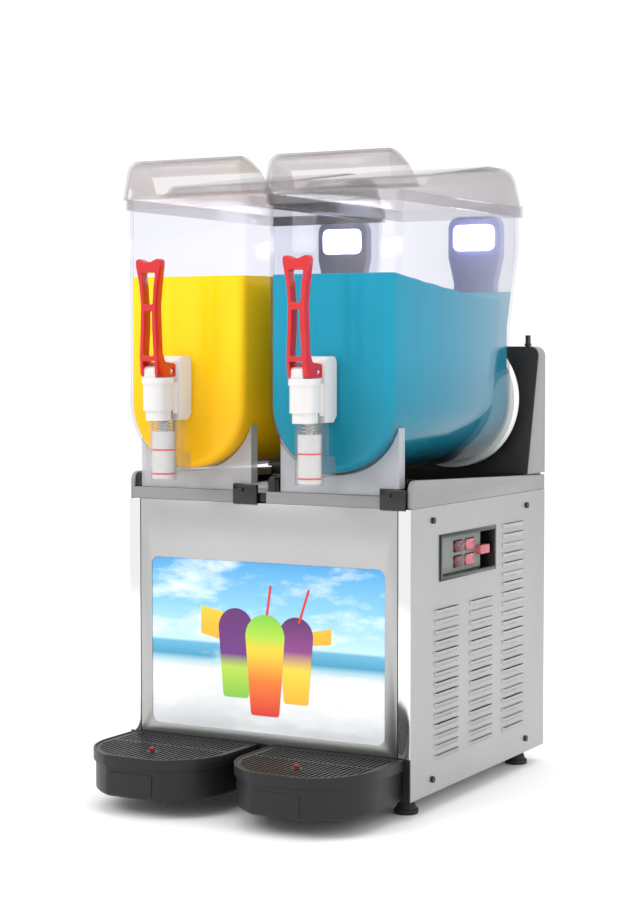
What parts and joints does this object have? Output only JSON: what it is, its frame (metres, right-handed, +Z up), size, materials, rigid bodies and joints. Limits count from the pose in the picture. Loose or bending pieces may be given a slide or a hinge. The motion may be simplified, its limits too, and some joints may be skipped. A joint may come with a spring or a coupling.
{
  "type": "slushie machine",
  "caption": "Frozen-drink dispenser with clear bowls on a stainless cabinet: removable bowls and lids, augers on cold drums, pull taps, drip trays and a lit front panel.",
  "frame": {"origin": "on the counter, midway between the cabinet sides and midway between the drip trays' front and the cord gland's rear end", "axes": "+X to the customer's right, -Y towards the customer, +Z up"},
  "size_m": [0.406, 0.564, 0.7969],
  "materials": {
    "stainless_sheet": "brushed",
    "polished_strip": "polished",
    "printed_acrylic": "gloss, printed on the back",
    "clear_plastic": "clear moulded",
    "black_plastic": "satin moulded",
    "grey_plastic": "satin moulded",
    "white_plastic": "moulded",
    "red_plastic": "moulded",
    "pink_plastic": "translucent moulded",
    "dark_red_plastic": "translucent moulded",
    "red_rubber": "food-grade silicone",
    "white_rubber": "food-grade silicone",
    "black_rubber": "moulded",
    "lamp_plastic": "translucent moulded",
    "cold_drum_steel": "brushed",
    "shaft_steel": "ground",
    "spring_steel": "drawn wire",
    "screw_steel": "bright",
    "black_paint": "semi-gloss",
    "fin_aluminium": "mill finish",
    "copper_tube": "drawn copper",
    "board": "white circuit board",
    "galvanised_pan": "galvanised"
  },
  "bodies": {
    "cabinet": {"base_pan": "galvanised_pan", "feet": "black_rubber", "corner_posts": "polished_strip", "front_panel": "stainless_sheet", "graphic_panel": "printed_acrylic", "led_boards": "board", "rear_panel": "stainless_sheet", "cord_inlet": "black_plastic", "side_panel_left": "stainless_sheet", "side_panel_right": "stainless_sheet", "screws": "screw_steel", "lower_front_bar": "black_plastic", "deck_trims": "grey_plastic", "deck_left": "black_plastic", "deck_right": "black_plastic", "rear_tower": "black_plastic", "tower_cover": "grey_plastic", "lamp_posts": "lamp_plastic", "evaporators": "cold_drum_steel", "bowl_gaskets": "white_rubber", "gearmotors": "black_paint", "control_panel": "black_plastic", "compressor": "black_paint", "condenser": "fin_aluminium", "fan_shroud": "black_paint", "refrigerant_lines": "copper_tube"},
    "fan": {"fan_blades": "fin_aluminium"},
    "bowl_left": {"bowl_left": "clear_plastic", "tap_body_left": "white_plastic", "tap_spring_left": "spring_steel"},
    "lid_left": {"lid_left": "clear_plastic"},
    "auger_left": {"auger_left": "white_plastic", "drive_shaft_left": "shaft_steel"},
    "lever_left": {"tap_lever_left": "red_plastic"},
    "piston_left": {"tap_piston_left": "white_plastic", "piston_rings_left": "red_rubber"},
    "catch_left": {"bowl_catch_left": "black_plastic"},
    "tray_left": {"drip_tray_left": "black_plastic"},
    "grid_left": {"tray_grid_left": "black_plastic"},
    "float_left": {"tray_float_left": "red_plastic"},
    "knob_left": {"thickness_knob_left": "black_plastic"},
    "bowl_right": {"bowl_right": "clear_plastic", "tap_body_right": "white_plastic", "tap_spring_right": "spring_steel"},
    "lid_right": {"lid_right": "clear_plastic"},
    "auger_right": {"auger_right": "white_plastic", "drive_shaft_right": "shaft_steel"},
    "lever_right": {"tap_lever_right": "red_plastic"},
    "piston_right": {"tap_piston_right": "white_plastic", "piston_rings_right": "red_rubber"},
    "catch_right": {"bowl_catch_right": "black_plastic"},
    "tray_right": {"drip_tray_right": "black_plastic"},
    "grid_right": {"tray_grid_right": "black_plastic"},
    "float_right": {"tray_float_right": "red_plastic"},
    "knob_right": {"thickness_knob_right": "black_plastic"},
    "power_switch": {"power_switch": "dark_red_plastic"},
    "light_switch": {"light_switch": "dark_red_plastic"},
    "left_bowl_switch": {"left_bowl_switch": "pink_plastic"},
    "right_bowl_switch": {"right_bowl_switch": "pink_plastic"},
    "mode_selector": {"mode_selector": "pink_plastic"}
  },
  "joints": [
    {"name": "fan_spin", "type": "hinge", "parent": "cabinet", "child": "fan", "pos_m": [0.1135, 0.08, 0.1355], "axis": [1, 0, 0], "continuous": true},
    {"name": "bowl_left_slide", "type": "slide", "parent": "cabinet", "child": "bowl_left", "axis": [0, -1, 0], "range_m": [0, 0.3]},
    {"name": "lid_left_lift", "type": "slide", "parent": "bowl_left", "child": "lid_left", "axis": [0, 0, 1], "range_m": [0, 0.12]},
    {"name": "auger_left_spin", "type": "hinge", "parent": "cabinet", "child": "auger_left", "pos_m": [-0.102, -0.073, 0.4944], "axis": [0, 1, 0], "continuous": true},
    {"name": "lever_left_pull", "type": "hinge", "parent": "bowl_left", "child": "lever_left", "pos_m": [-0.102, -0.228, 0.534], "axis": [1, 0, 0], "range_deg": [0, 30], "stiffness_Nm_per_rad": 1.2, "springref_deg": -14.32},
    {"name": "piston_left_lift", "type": "slide", "parent": "bowl_left", "child": "piston_left", "axis": [0, 0, 1], "range_m": [0, 0.01269], "deforming": ["tap_spring_left"]},
    {"name": "catch_left_slide", "type": "slide", "parent": "cabinet", "child": "catch_left", "axis": [0, 0, 1], "range_m": [0, 0.006]},
    {"name": "tray_left_slide", "type": "slide", "parent": "cabinet", "child": "tray_left", "axis": [0, -1, 0], "range_m": [0, 0.06]},
    {"name": "grid_left_lift", "type": "slide", "parent": "tray_left", "child": "grid_left", "axis": [0, 0, 1], "range_m": [0, 0.03]},
    {"name": "float_left_rise", "type": "slide", "parent": "tray_left", "child": "float_left", "axis": [0, 0, 1], "range_m": [0, 0.012]},
    {"name": "knob_left_turn", "type": "hinge", "parent": "cabinet", "child": "knob_left", "pos_m": [-0.18, 0.261, 0.564], "axis": [0, 0, 1], "range_deg": [-135, 135]},
    {"name": "bowl_right_slide", "type": "slide", "parent": "cabinet", "child": "bowl_right", "axis": [0, -1, 0], "range_m": [0, 0.3]},
    {"name": "lid_right_lift", "type": "slide", "parent": "bowl_right", "child": "lid_right", "axis": [0, 0, 1], "range_m": [0, 0.12]},
    {"name": "auger_right_spin", "type": "hinge", "parent": "cabinet", "child": "auger_right", "pos_m": [0.102, -0.073, 0.4944], "axis": [0, 1, 0], "continuous": true},
    {"name": "lever_right_pull", "type": "hinge", "parent": "bowl_right", "child": "lever_right", "pos_m": [0.102, -0.228, 0.534], "axis": [1, 0, 0], "range_deg": [0, 30], "stiffness_Nm_per_rad": 1.2, "springref_deg": -14.32},
    {"name": "piston_right_lift", "type": "slide", "parent": "bowl_right", "child": "piston_right", "axis": [0, 0, 1], "range_m": [0, 0.01269], "deforming": ["tap_spring_right"]},
    {"name": "catch_right_slide", "type": "slide", "parent": "cabinet", "child": "catch_right", "axis": [0, 0, 1], "range_m": [0, 0.006]},
    {"name": "tray_right_slide", "type": "slide", "parent": "cabinet", "child": "tray_right", "axis": [0, -1, 0], "range_m": [0, 0.06]},
    {"name": "grid_right_lift", "type": "slide", "parent": "tray_right", "child": "grid_right", "axis": [0, 0, 1], "range_m": [0, 0.03]},
    {"name": "float_right_rise", "type": "slide", "parent": "tray_right", "child": "float_right", "axis": [0, 0, 1], "range_m": [0, 0.012]},
    {"name": "knob_right_turn", "type": "hinge", "parent": "cabinet", "child": "knob_right", "pos_m": [0.18, 0.261, 0.564], "axis": [0, 0, 1], "range_deg": [-135, 135]},
    {"name": "power_switch_rock", "type": "hinge", "parent": "cabinet", "child": "power_switch", "pos_m": [0.186, 0.013, 0.2965], "axis": [0, 1, 0], "range_deg": [-8, 8]},
    {"name": "light_switch_rock", "type": "hinge", "parent": "cabinet", "child": "light_switch", "pos_m": [0.186, 0.013, 0.3155], "axis": [0, 1, 0], "range_deg": [-8, 8]},
    {"name": "left_bowl_switch_rock", "type": "hinge", "parent": "cabinet", "child": "left_bowl_switch", "pos_m": [0.186, 0.047, 0.2965], "axis": [0, 1, 0], "range_deg": [-8, 8]},
    {"name": "right_bowl_switch_rock", "type": "hinge", "parent": "cabinet", "child": "right_bowl_switch", "pos_m": [0.186, 0.047, 0.3155], "axis": [0, 1, 0], "range_deg": [-8, 8]},
    {"name": "mode_selector_slide", "type": "slide", "parent": "cabinet", "child": "mode_selector", "axis": [0, 1, 0], "range_m": [0, 0.006]}
  ],
  "couplings": [
    {"joint": "piston_left_lift", "follows": "lever_left_pull", "m_per_rad": 0.024},
    {"joint": "piston_right_lift", "follows": "lever_right_pull", "m_per_rad": 0.024}
  ]
}
